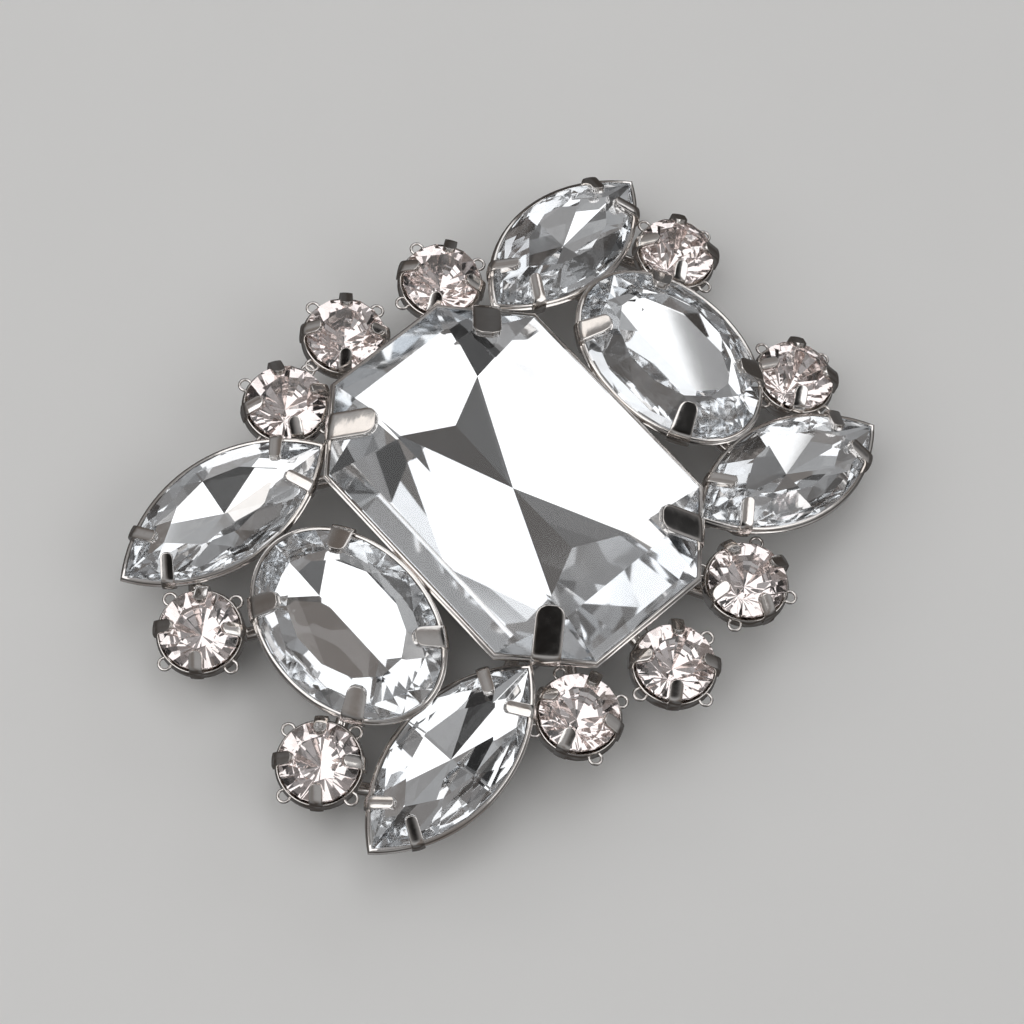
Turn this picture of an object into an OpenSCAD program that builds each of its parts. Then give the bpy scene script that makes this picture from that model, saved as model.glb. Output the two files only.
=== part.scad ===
// Shoe buckle: seventeen cut stones held by claws in one soldered metal setting,
// with a folded strip clip under the middle. +X runs across the large stone,
// +Y along it and +Z out of its table. The clip rests on z = 0.

/* [Large stone] */
// Half of the width of the large stone, across X.
large_half_w = 9; // [6:0.25:12]
// Half of the length of the large stone, along Y.
large_half_h = 12.5; // [8:0.25:16]
// How far each corner of the large stone is cut back along both sides.
large_corner = 4.5; // [2:0.25:6]
// Half of the width of its flat table.
large_table_w = 4.4; // [3:0.1:7]
// Half of the length of its flat table.
large_table_h = 9.45; // [6:0.05:11]
// Height of its table above the middle of its edge.
large_crown = 1.6; // [0.8:0.1:2.5]
// Depth of the point of its back.
large_point_depth = 2.4; // [2:0.1:4]

/* [Oval stones] */
// Half of the width of an oval stone.
oval_half_w = 5; // [3:0.25:7]
// Half of the length of an oval stone, along Y.
oval_half_h = 7; // [4:0.25:9]
// Height of its table above the middle of its edge.
oval_crown = 1.5; // [0.8:0.1:2.5]
// Depth of the ridge of its back.
oval_depth = 2; // [1.5:0.1:4]
// Slope of the two side facets of its back.
oval_slope = 15; // [8:0.5:25]
// Slope of the four end facets along the ridge line.
oval_end_slope = 17; // [8:0.5:30]
// How far the left oval stone sits below the X axis, along Y.
left_oval_down = 0.3; // [0:0.1:1]
// Distance of its centre from the middle of the buckle.
oval_reach = 14.6; // [12:0.1:18]
// How far its edge lies below the edge of the large stone.
oval_drop = 0.9; // [0:0.1:2]

/* [Pointed stones] */
// Half of the length of a pointed stone.
pointed_half_l = 7.5; // [5:0.25:9]
// Half of the width of a pointed stone.
pointed_half_w = 3.5; // [2:0.25:4.5]
// Height of its table above the middle of its edge.
pointed_crown = 1.3; // [0.8:0.1:2]
// Depth of the point of its back.
pointed_depth = 1.3; // [1.1:0.1:2]
// Distance of its centre from the middle of the buckle, along X.
pointed_reach_x = 15.3; // [13:0.1:18]
// Distance of its centre from the middle of the buckle, along Y.
pointed_reach_y = 11; // [9:0.1:14]
// How far its edge lies below the edge of the large stone.
pointed_drop = 1.9; // [0:0.1:3]
// Angle by which its outer point swings away from the X axis.
pointed_splay = 7.6; // [0:0.2:20]
// Angle by which the right-back one leans outward about its long axis.
back_roll = 4; // [0:0.5:8]

/* [Round stones] */
// Radius of a round stone.
round_r = 2.6; // [1.5:0.05:3.5]
// Height of its table above the middle of its edge.
round_crown = 1; // [0.5:0.05:1.5]
// Depth of the point of its back.
round_depth = 2.3; // [1:0.05:3]
// Distance of the middle round stone of an end from the middle of the buckle.
end_reach = 15.6; // [14:0.1:18]
// Distance along Y of the two round stones beside it.
end_side_y = 14.5; // [13:0.1:17]
// Distance along X of the two round stones beside it.
end_side_x = 7.2; // [5.5:0.1:9]
// How far the edges of the six end stones lie below the edge of the large stone.
end_drop = 1.5; // [0:0.1:3]
// Distance along X of the four round stones outside the ovals.
wing_x = 21.5; // [19:0.1:25]
// Distance along Y of these four stones.
wing_y = 6; // [4:0.1:8]
// How far their edges lie below the edge of the large stone.
wing_drop = 3; // [1:0.1:5]

/* [Setting] */
// How far all the settings of the right side are shifted up along Y.
right_up = 0.4; // [0:0.1:1]
// Angle by which the outer settings of both sides slope down and outward.
wing_tilt = 11; // [0:0.5:20]
// The same angle of the right oval setting, which sits a little flatter.
right_oval_tilt = 6.6; // [0:0.1:20]
// Thickness of the claws.
claw_t = 0.45; // [0.3:0.05:0.8]
// Width of a claw of the large stone.
large_claw_w = 1.9; // [1:0.1:3]
// Width of a claw of an oval stone.
oval_claw_w = 1.7; // [1:0.1:3]
// Width of a claw of a pointed stone.
pointed_claw_w = 0.9; // [0.6:0.1:2]
// Width of a claw of a round stone.
round_claw_w = 0.85; // [0.6:0.05:1.5]
// Thickness of the thin rim around each stone.
rim_t = 0.3; // [0.2:0.05:0.6]
// Diameter of the wires that join the settings.
wire_d = 0.9; // [0.6:0.1:1.5]

/* [Clip] */
// Width of the clip strip, across X.
clip_w = 11; // [6:1:12]
// Length of the clip, along Y.
clip_l = 18; // [12:1:19]
// Thickness of the clip strip.
clip_t = 0.8; // [0.5:0.1:1.2]
// Height of the open throat of the clip.
clip_throat = 2; // [1:0.1:4]

/* [Hidden] */
$fn = 64;
// Clearance between a stone and the metal around it.
gap = 0.06;
// Half of the height of the upright edge band of the stones.
band = 0.2;
// Radial steps of the oval outlines of the metal.
oval_steps = 40;
// Height of the thin rims, and how far their tops lie below the top of the edge band.
rim_h = 0.5;
rim_top = 0.05;
// Space between the back of a stone and the plate below it, and that plate's thickness.
under_gap = 0.25;
plate_t = 0.8;
// Distance from the edge of the large stone down to the underside of its plate.
large_base = band + large_point_depth + under_gap + plate_t;
oval_base = band + oval_depth + under_gap + plate_t;
pointed_base = band + pointed_depth + under_gap + plate_t;
round_base = band + round_depth + under_gap + plate_t / 2;
// The clip lies under the plate with the clearance between them.
clip_h = 2 * clip_t + clip_throat;
girdle_z = clip_h + gap + large_base;
// Signs of the four quarters, in the order right-back, right-front, left-front, left-back.
quarters = [[1, 1], [1, -1], [-1, -1], [-1, 1]];
// Centre x, centre y, drop, sideways slope and turn of each round stone. The end stones
// stand a little off the mirrored places, because such settings are joined by hand.
round_spots = [
    [end_side_x - 0.4, end_side_y, end_drop, 0, 35],
    [-0.9, end_reach - 0.1, end_drop, 0, 48],
    [-end_side_x, end_side_y - 0.3, end_drop, 0, 65],
    [wing_x, wing_y + right_up, wing_drop, wing_tilt, 45],
    [wing_x - 0.2, right_up - wing_y, wing_drop, wing_tilt, 45],
    [end_side_x + 0.4, -end_side_y, end_drop, 0, 77],
    [0, -end_reach, end_drop, 0, 45],
    [0.1 - end_side_x, 0.4 - end_side_y, end_drop, 0, 24],
    [-wing_x, 0.4 - wing_y, wing_drop, -wing_tilt, 45],
    [-wing_x, wing_y, wing_drop, -wing_tilt, 45]
];

// Corner points of the large stone's outline, moved outward by d, at the height z.
function large_ring(d, z) =
    let (w = large_half_w + d, h = large_half_h + d, c = large_corner + 2 * d - d * sqrt(2))
    [[w - c, h, z], [w, h - c, z], [w, c - h, z], [w - c, -h, z],
     [c - w, -h, z], [-w, c - h, z], [-w, h - c, z], [c - w, h, z]];

// Points of an ellipse with the half axes a and b, in n steps from the angle start.
function ellipse_ring(a, b, n, z, start = 0) =
    [for (i = [0:n - 1]) let (t = start + 360 * i / n) [a * cos(t), b * sin(t), z]];

// The four mirrored copies of a point.
function four(x, y, z) = [for (q = quarters) [q[0] * x, q[1] * y, z]];

// Radius of the two arcs that bound a pointed outline, and the shift of their centres.
function arc_r(l, w) = (l * l + w * w) / (2 * w);

// Points on a pointed outline with half length l and half width w, n steps on each arc.
function pointed_ring(l, w, n, z) =
    let (r = arc_r(l, w), half = asin(l / r))
    [for (s = [1, -1]) for (i = [0:n - 1])
        let (t = s * (half - 2 * half * i / n))
        [r * sin(t), s * (r * cos(t) - (r - w)), z]];

function flat(points) = [for (p = points) [p[0], p[1]]];

// A cut stone: the solid that spans all its corner points.
module cut_stone(points) {
    hull()
        polyhedron(points = points, faces = [[for (i = [0:len(points) - 1]) i]]);
}

module place_oval(side) {
    translate([side * oval_reach, side > 0 ? right_up : -left_oval_down, girdle_z - oval_drop])
        rotate([0, side > 0 ? right_oval_tilt : -wing_tilt, 0])
            children();
}

module place_pointed(quarter) {
    q = quarters[quarter];
    up = q[0] > 0 ? right_up : 0;
    translate([q[0] * pointed_reach_x, q[1] * pointed_reach_y + up, girdle_z - pointed_drop])
        rotate([0, 0, q[0] * q[1] * pointed_splay])
            rotate([quarter == 0 ? -back_roll : 0, q[0] * wing_tilt, 0])
                children();
}

module place_round(index) {
    spot = round_spots[index];
    translate([spot[0], spot[1], girdle_z - spot[2]])
        rotate([0, spot[3], 0])
            rotate([0, 0, spot[4]])
                children();
}

module large_stone() {
    // Each side facet of the back is one plane from the long edge to the point. The end
    // ridges lie in the planes of the end facets.
    inner_x = 3.4;
    inner_y = 7.3;
    ridge_y = 5.65;
    inner_depth = large_point_depth * (large_half_w - inner_x) / large_half_w;
    ridge_depth = inner_depth * (large_half_h - ridge_y) / (large_half_h - inner_y);
    color([0.93, 0.95, 0.98])
        translate([0, 0, girdle_z])
            cut_stone(concat(
                large_ring(0, band),
                large_ring(0, -band),
                four(large_table_w, large_table_h, large_crown),
                four(inner_x, inner_y, -band - inner_depth),
                [[0, ridge_y, -band - ridge_depth], [0, -ridge_y, -band - ridge_depth]],
                [[0, 0, -band - large_point_depth]]
            ));
}

// The back of an oval stone is a roof: a ridge along Y, one flat facet on each side of
// it and two at each end, and a ring of steeper facets outside them.
module oval_stone(side) {
    table = 0.64;
    ridge = 0.41 * oval_half_h;
    side_x = 0.64 * oval_half_w;
    side_y = 0.27 * oval_half_h;
    hip_x = 0.4 * oval_half_w;
    hip_y = 0.63 * oval_half_h;
    tip_y = 0.76 * oval_half_h;
    color([0.93, 0.95, 0.98])
        place_oval(side)
            cut_stone(concat(
                ellipse_ring(oval_half_w, oval_half_h, 24, band),
                ellipse_ring(oval_half_w, oval_half_h, 24, -band),
                ellipse_ring(table * oval_half_w, table * oval_half_h, 12, oval_crown, 15),
                four(0, ridge, -band - oval_depth),
                four(side_x, side_y, -band - oval_depth + side_x * tan(oval_slope)),
                four(hip_x, hip_y, -band - oval_depth + hip_x * tan(oval_slope)),
                four(0, tip_y, -band - oval_depth + (tip_y - ridge) * tan(oval_end_slope))
            ));
}

module pointed_stone(quarter) {
    table = 0.58;
    color([0.9, 0.93, 0.96])
        place_pointed(quarter)
            cut_stone(concat(
                pointed_ring(pointed_half_l, pointed_half_w, 8, band),
                pointed_ring(pointed_half_l, pointed_half_w, 8, -band),
                pointed_ring(table * pointed_half_l, table * pointed_half_w, 4, pointed_crown),
                four(0.546 * pointed_half_l, 0.468 * pointed_half_w, -band - 0.36 * pointed_depth),
                four(0, 0.832 * pointed_half_w, -band - 0.232 * pointed_depth),
                four(0.988 * pointed_half_l, 0, -band - 0.12 * pointed_depth),
                [[0, 0, -band - pointed_depth]]
            ));
}

module round_stone(index) {
    table = 0.56;
    star = 0.5;
    star_depth = 0.51;
    color([0.95, 0.93, 0.92])
        place_round(index)
            cut_stone(concat(
                ellipse_ring(round_r, round_r, 16, 0.75 * band),
                ellipse_ring(round_r, round_r, 16, -0.75 * band),
                ellipse_ring(table * round_r, table * round_r, 8, round_crown),
                ellipse_ring(star * round_r, star * round_r, 16, -band - star_depth * round_depth),
                [[0, 0, -band - round_depth]]
            ));
}

// One claw, from the plate below up around the edge of a stone and over its crown. The
// edge of the stone is at x = 0 and the stone lies toward -x.
module claw(width, run, slope, foot_in, foot_down) {
    lean = tan(slope);
    inner = gap / cos(slope);
    outer = (gap + claw_t) / cos(slope);
    intersection() {
        rotate([90, 0, 0])
            linear_extrude(height = width, center = true)
                polygon([
                    [-run, band + run * lean + inner],
                    [gap, band - gap * lean + inner],
                    [gap, -2 * band],
                    [-foot_in, -foot_down],
                    [1.6 * claw_t - foot_in, -foot_down],
                    [gap + claw_t, -3 * band],
                    [gap + claw_t, band - (gap + claw_t) * lean + outer],
                    [-run, band + run * lean + outer]
                ]);
        translate([0, 0, -2 * foot_down])
            linear_extrude(height = 4 * foot_down)
                union() {
                    translate([width / 2 - run, 0])
                        circle(r = width / 2);
                    translate([width / 2 - run, -width / 2])
                        square([run + 2 * claw_t, width]);
                }
    }
}

// A thin band between two outlines, just outside the edge of a stone.
module rim(outer, inner) {
    translate([0, 0, band - rim_top - rim_h])
        linear_extrude(height = rim_h)
            difference() {
                polygon(outer);
                polygon(inner);
            }
}

module large_setting() {
    plate_in = -2;
    corner = [large_half_w - large_corner / 2, large_half_h - large_corner / 2];
    translate([0, 0, girdle_z]) {
        rim(flat(large_ring(gap + rim_t, 0)), flat(large_ring(gap, 0)));
        translate([0, 0, -large_base])
            linear_extrude(height = plate_t)
                polygon(flat(large_ring(plate_in, 0)));
        for (q = quarters)
            translate([q[0] * corner[0], q[1] * corner[1], 0])
                rotate([0, 0, atan2(q[1], q[0])])
                    claw(large_claw_w, run = 2.6, slope = 32, foot_in = 2.6,
                        foot_down = large_base - plate_t / 2);
    }
}

module oval_setting(side) {
    // A claw stands at this angle of the outline, square to it.
    at = 42.3;
    out = gap + rim_t;
    plate_in = 1.7;
    place_oval(side) {
        rim(flat(ellipse_ring(oval_half_w + out, oval_half_h + out, oval_steps, 0)),
            flat(ellipse_ring(oval_half_w + gap, oval_half_h + gap, oval_steps, 0)));
        translate([0, 0, -oval_base])
            linear_extrude(height = plate_t)
                polygon(flat(ellipse_ring(oval_half_w - plate_in, oval_half_h - plate_in, 24, 0)));
        for (q = quarters)
            translate([q[0] * oval_half_w * cos(at), q[1] * oval_half_h * sin(at), 0])
                rotate([0, 0, atan2(q[1] * sin(at) / oval_half_h, q[0] * cos(at) / oval_half_w)])
                    claw(oval_claw_w, run = 1.5, slope = 34, foot_in = 2.2,
                        foot_down = oval_base - plate_t / 2);
    }
}

// The pointed outline moved outward by d, as two crossing circles.
module pointed_outline(l, w, d) {
    r = arc_r(l, w);
    intersection() {
        translate([0, w - r])
            circle(r = r + d);
        translate([0, r - w])
            circle(r = r + d);
    }
}

module pointed_setting(quarter) {
    claw_x = 5.4;
    r = arc_r(pointed_half_l, pointed_half_w);
    claw_y = sqrt(r * r - claw_x * claw_x) - (r - pointed_half_w);
    place_pointed(quarter) {
        translate([0, 0, band - rim_top - rim_h])
            linear_extrude(height = rim_h)
                difference() {
                    pointed_outline(pointed_half_l, pointed_half_w, gap + rim_t);
                    pointed_outline(pointed_half_l, pointed_half_w, gap);
                }
        translate([0, 0, -pointed_base])
            linear_extrude(height = plate_t)
                pointed_outline(pointed_half_l, pointed_half_w, -1.3);
        for (q = quarters)
            translate([q[0] * claw_x, q[1] * claw_y, 0])
                rotate([0, 0, atan2(q[1] * (claw_y + r - pointed_half_w), q[0] * claw_x)])
                    claw(pointed_claw_w, run = 1.4, slope = 27, foot_in = 1.5,
                        foot_down = pointed_base - plate_t / 2);
    }
}

// A closed cup with four claws cut from one turned wall, and four small wire loops.
module round_setting(index) {
    wall = 0.35;
    top = 0.75 * band;
    cup_top = -0.35;
    slope = atan((round_crown - top) / (round_r * (1 - 0.56)));
    run = 0.9;
    inner = gap / cos(slope);
    outer = (gap + wall) / cos(slope);
    foot_r = 1.5;
    loop_r = 0.5;
    place_round(index) {
        rotate_extrude()
            polygon([
                [0, -round_base],
                [foot_r, -round_base],
                [round_r + gap + wall, cup_top - 0.6],
                [round_r + gap + wall, cup_top],
                [round_r + gap, cup_top],
                [round_r + gap, cup_top - 0.25],
                [foot_r - 0.2, plate_t / 2 - round_base],
                [0, plate_t / 2 - round_base]
            ]);
        intersection() {
            rotate_extrude()
                polygon([
                    [round_r + gap, cup_top - 0.2],
                    [round_r + gap + wall, cup_top - 0.2],
                    [round_r + gap + wall, top - (gap + wall) * tan(slope) + outer],
                    [round_r - run, top + run * tan(slope) + outer],
                    [round_r - run, top + run * tan(slope) + inner],
                    [round_r + gap, top - gap * tan(slope) + inner]
                ]);
            for (i = [0:3])
                rotate([0, 0, 90 * i])
                    translate([round_r - run + round_claw_w / 2, 0, -round_base])
                        linear_extrude(height = 2 * round_base)
                            union() {
                                circle(r = round_claw_w / 2);
                                translate([0, -round_claw_w / 2])
                                    square([run + 1, round_claw_w]);
                            }
        }
        for (i = [0:3])
            rotate([0, 0, 90 * i + 45])
                translate([round_r + gap + wall, 0, cup_top - 0.45])
                    linear_extrude(height = 0.3)
                        difference() {
                            circle(r = loop_r);
                            circle(r = loop_r - 0.2);
                        }
    }
}

// A round wire between two points; both are given from the edge plane of the large stone.
module wire(from, to) {
    d = to - from;
    translate([from[0], from[1], girdle_z + from[2]])
        rotate([0, acos(d[2] / norm(d)), atan2(d[1], d[0])])
            cylinder(d = wire_d, h = norm(d));
}

module joining_wires() {
    // The wires lie half sunk in the undersides of the plates and cups.
    sunk = 0.2;
    plate_z = sunk - large_base;
    oval_z = sunk - oval_drop - oval_base;
    pointed_z = sunk - pointed_drop - pointed_base;
    end_z = -end_drop - round_base - sunk / 2;
    wing_z = -wing_drop - round_base;
    for (s = [1, -1]) {
        wire([s * 6.3, 0, plate_z], [s * (oval_reach - 1), 0, oval_z]);
        wire([0, s * 9.6, plate_z], [0, s * end_reach, end_z]);
    }
    for (q = quarters) {
        wire([q[0] * 3.6, q[1] * 9.6, plate_z], [q[0] * end_side_x, q[1] * end_side_y, end_z]);
        wire([q[0] * 6, q[1] * 7.7, plate_z], [q[0] * 11.5, q[1] * 10.5, plate_z]);
        wire([q[0] * (oval_reach - 0.6), q[1] * 3.5, oval_z],
            [q[0] * (pointed_reach_x - 0.6), q[1] * pointed_reach_y, pointed_z]);
        wire([q[0] * (oval_reach + 1), q[1] * 2.5, oval_z - sunk],
            [q[0] * (wing_x - 1), q[1] * (wing_y - 0.3), wing_z]);
        wire([q[0] * (pointed_reach_x + 2.5), q[1] * pointed_reach_y, pointed_z - 2 * sunk],
            [q[0] * (wing_x - 0.6), q[1] * (wing_y + 0.6), wing_z]);
    }
}

module setting_frame() {
    color([0.78, 0.78, 0.8])
        union() {
            large_setting();
            for (side = [1, -1])
                oval_setting(side);
            for (quarter = [0:3])
                pointed_setting(quarter);
            for (index = [0:len(round_spots) - 1])
                round_setting(index);
            joining_wires();
        }
}

// A strip folded once at its +Y end, open toward -Y.
module shoe_clip() {
    bend_r = clip_h / 2;
    color([0.7, 0.7, 0.72])
        translate([-clip_w / 2, 0, bend_r])
            rotate([90, 0, 90])
                linear_extrude(height = clip_w)
                    union() {
                        intersection() {
                            translate([clip_l / 2 - bend_r, 0])
                                difference() {
                                    circle(r = bend_r);
                                    circle(r = bend_r - clip_t);
                                }
                            translate([clip_l / 2 - bend_r, -bend_r])
                                square([bend_r, clip_h]);
                        }
                        for (y = [-bend_r, bend_r - clip_t])
                            translate([-clip_l / 2, y])
                                square([clip_l - bend_r, clip_t]);
                    }
}

setting_frame();
shoe_clip();
large_stone();
oval_stone(1);  // oval_stone_1
oval_stone(-1);  // oval_stone_2
pointed_stone(0);  // pointed_stone_1
pointed_stone(1);  // pointed_stone_2
pointed_stone(2);  // pointed_stone_3
pointed_stone(3);  // pointed_stone_4
round_stone(0);  // round_stone_1
round_stone(1);  // round_stone_2
round_stone(2);  // round_stone_3
round_stone(3);  // round_stone_4
round_stone(4);  // round_stone_5
round_stone(5);  // round_stone_6
round_stone(6);  // round_stone_7
round_stone(7);  // round_stone_8
round_stone(8);  // round_stone_9
round_stone(9);  // round_stone_10
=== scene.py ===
"""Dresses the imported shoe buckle: finishes its cut stones, models the claws, rims, cups
and wires of its setting, and lays it on a pale floor under studio light.

Lengths are in metres. +X runs across the large stone, +Y along it and +Z out of its
table. The clip under the middle rests on z = 0.
"""
import math

import bmesh
import bpy
from bpy.props import FloatProperty, FloatVectorProperty, PointerProperty
from mathutils import Matrix, Vector


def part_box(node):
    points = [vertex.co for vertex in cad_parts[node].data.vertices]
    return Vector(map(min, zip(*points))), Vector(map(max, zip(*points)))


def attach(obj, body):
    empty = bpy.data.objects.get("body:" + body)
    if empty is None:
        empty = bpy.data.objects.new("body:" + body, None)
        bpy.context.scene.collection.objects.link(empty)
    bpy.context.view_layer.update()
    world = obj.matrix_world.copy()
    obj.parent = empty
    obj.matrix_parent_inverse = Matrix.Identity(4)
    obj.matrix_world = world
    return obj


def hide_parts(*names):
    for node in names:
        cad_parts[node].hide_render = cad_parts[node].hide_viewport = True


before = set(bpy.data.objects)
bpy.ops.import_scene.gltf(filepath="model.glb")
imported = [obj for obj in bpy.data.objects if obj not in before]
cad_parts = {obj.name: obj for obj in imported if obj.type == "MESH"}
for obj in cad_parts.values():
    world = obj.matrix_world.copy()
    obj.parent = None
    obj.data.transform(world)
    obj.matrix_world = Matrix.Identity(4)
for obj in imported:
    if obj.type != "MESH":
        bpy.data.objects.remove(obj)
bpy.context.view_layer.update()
LARGE_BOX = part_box("large_stone")
CLIP_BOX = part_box("shoe_clip")

bl_info = {
    "name": "Jewelled Shoe Buckle",
    "version": (1, 0, 0),
    "blender": (4, 5, 0),
    "location": "3D View > Sidebar > Buckle",
    "description": "Finishes and lights a shoe buckle with claw-set cut stones",
    "category": "Object",
}

MM = 0.001

# From the middle of the large stone's edge up to its table.
LARGE_CROWN = 1.6 * MM

# Signs of the four quarters, in the order right-back, right-front, left-front, left-back.
QUARTERS = ((1, 1), (1, -1), (-1, -1), (-1, 1))

ROUND_COUNT = 10

# Direction round Z, height above the floor, width and height, all in degrees, strength
# and colour of each light, as seen from the buckle.
SOFTBOXES = (
    ("left_softbox", 160, 50, 46, 58, 1.10, (1.0, 1.0, 1.0)),
    ("top_softbox", 36, 67, 24, 29, 1.10, (0.975, 0.985, 1.0)),
    ("front_softbox", -65, 46, 36, 28, 1.10, (1.0, 1.0, 1.0)),
    ("right_softbox", 12, 26, 42, 24, 0.80, (0.96, 0.98, 1.0)),
    ("back_softbox", 108, 31, 20, 14, 0.80, (1.0, 0.95, 0.9)),
)

# Direction round Z, height and radius in degrees of the black flags that hang in the
# room, and the share of its dim light that each leaves.
FLAGS = (
    (-130, 50, 17, 0.06),
    (23, 87, 8, 0.28),
    (2, 51, 9, 0.28),
    (82, 64, 9, 0.4),
    (34, 41, 7, 0.4),
    (-20, 19, 9, 0.1),
)

# A flag's shade fades out from its radius divided by this to its radius times this.
FLAG_EDGE = 1.41

# Half of the side of the square floor, and the place and width of the light above it.
FLOOR_HALF = 1.5
FLOOR_LIGHT_SPOT = (-0.15, 0.1, 1)
FLOOR_LIGHT_WIDTH = 1


# Property groups.


class BuckleStoneSizes(bpy.types.PropertyGroup):
    """Sizes of the stones, which the setting is fitted to."""

    large_half_w: FloatProperty(
        name="Large Half Width", description="Half of the width of the large stone",
        default=LARGE_BOX[1].x, unit="LENGTH")
    large_half_h: FloatProperty(
        name="Large Half Length", description="Half of the length of the large stone",
        default=LARGE_BOX[1].y, unit="LENGTH")
    large_corner: FloatProperty(
        name="Large Corner",
        description="How far the corners of the large stone are cut back",
        default=4.5 * MM, unit="LENGTH")
    oval_half_w: FloatProperty(
        name="Oval Half Width", description="Half of the width of an oval stone",
        default=5 * MM, unit="LENGTH")
    oval_half_h: FloatProperty(
        name="Oval Half Length", description="Half of the length of an oval stone",
        default=7 * MM, unit="LENGTH")
    pointed_half_l: FloatProperty(
        name="Pointed Half Length", description="Half of the length of a pointed stone",
        default=7.5 * MM, unit="LENGTH")
    pointed_half_w: FloatProperty(
        name="Pointed Half Width", description="Half of the width of a pointed stone",
        default=3.5 * MM, unit="LENGTH")
    round_r: FloatProperty(
        name="Round Radius", description="Radius of a round stone",
        default=2.6 * MM, unit="LENGTH")
    band: FloatProperty(
        name="Edge Band", description="Half of the height of the upright edge of a stone",
        default=0.2 * MM, unit="LENGTH")
    large_base: FloatProperty(
        name="Large Base",
        description="From the large stone's edge down to the underside of its plate",
        default=3.65 * MM, unit="LENGTH")
    oval_base: FloatProperty(
        name="Oval Base",
        description="From an oval stone's edge down to the underside of its plate",
        default=3.25 * MM, unit="LENGTH")
    pointed_base: FloatProperty(
        name="Pointed Base",
        description="From a pointed stone's edge down to the underside of its plate",
        default=2.55 * MM, unit="LENGTH")
    round_base: FloatProperty(
        name="Round Base",
        description="From a round stone's edge down to the underside of its cup",
        default=3.15 * MM, unit="LENGTH")


class BucklePlaces(bpy.types.PropertyGroup):
    """Places of the stones. Drops are measured down from the edge of the large stone."""

    girdle_z: FloatProperty(
        name="Edge Height", description="Height of the edge of the large stone above the floor",
        default=LARGE_BOX[1].z - LARGE_CROWN, unit="LENGTH")
    right_up: FloatProperty(
        name="Right Side Up", description="How far the right side is shifted up along Y",
        default=0.4 * MM, unit="LENGTH")
    wing_tilt: FloatProperty(
        name="Wing Tilt", description="Angle by which the outer settings slope outward",
        default=math.radians(11), subtype="ANGLE")
    oval_reach: FloatProperty(
        name="Oval Reach", description="Distance of an oval from the middle, along X",
        default=14.6 * MM, unit="LENGTH")
    oval_drop: FloatProperty(
        name="Oval Drop", description="Drop of the edge of an oval",
        default=0.9 * MM, unit="LENGTH")
    left_oval_down: FloatProperty(
        name="Left Oval Down", description="How far the left oval is shifted down along Y",
        default=0.3 * MM, unit="LENGTH")
    right_oval_tilt: FloatProperty(
        name="Right Oval Tilt", description="Angle by which the right oval slopes outward",
        default=math.radians(6.6), subtype="ANGLE")
    pointed_reach_x: FloatProperty(
        name="Pointed Reach X", description="Distance of a pointed stone along X",
        default=15.3 * MM, unit="LENGTH")
    pointed_reach_y: FloatProperty(
        name="Pointed Reach Y", description="Distance of a pointed stone along Y",
        default=11 * MM, unit="LENGTH")
    pointed_drop: FloatProperty(
        name="Pointed Drop", description="Drop of the edge of a pointed stone",
        default=1.9 * MM, unit="LENGTH")
    pointed_splay: FloatProperty(
        name="Pointed Splay",
        description="Angle by which the outer point of a pointed stone swings away",
        default=math.radians(7.6), subtype="ANGLE")
    back_roll: FloatProperty(
        name="Back Roll", description="Lean of the right-back pointed stone over its long axis",
        default=math.radians(4), subtype="ANGLE")
    end_reach: FloatProperty(
        name="End Reach", description="Distance along Y of the middle round stone of an end",
        default=15.6 * MM, unit="LENGTH")
    end_side_x: FloatProperty(
        name="End Side X",
        description="Distance along X of the round stones beside the middle one of an end",
        default=7.2 * MM, unit="LENGTH")
    end_side_y: FloatProperty(
        name="End Side Y", description="Distance along Y of the same end stones",
        default=14.5 * MM, unit="LENGTH")
    end_drop: FloatProperty(
        name="End Drop", description="Drop of the edges of the six end stones",
        default=1.5 * MM, unit="LENGTH")
    wing_x: FloatProperty(
        name="Wing X", description="Distance along X of the four stones outside the ovals",
        default=21.5 * MM, unit="LENGTH")
    wing_y: FloatProperty(
        name="Wing Y", description="Distance along Y of the stones outside the ovals",
        default=6 * MM, unit="LENGTH")
    wing_drop: FloatProperty(
        name="Wing Drop", description="Drop of the edges of the stones outside the ovals",
        default=3 * MM, unit="LENGTH")


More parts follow.
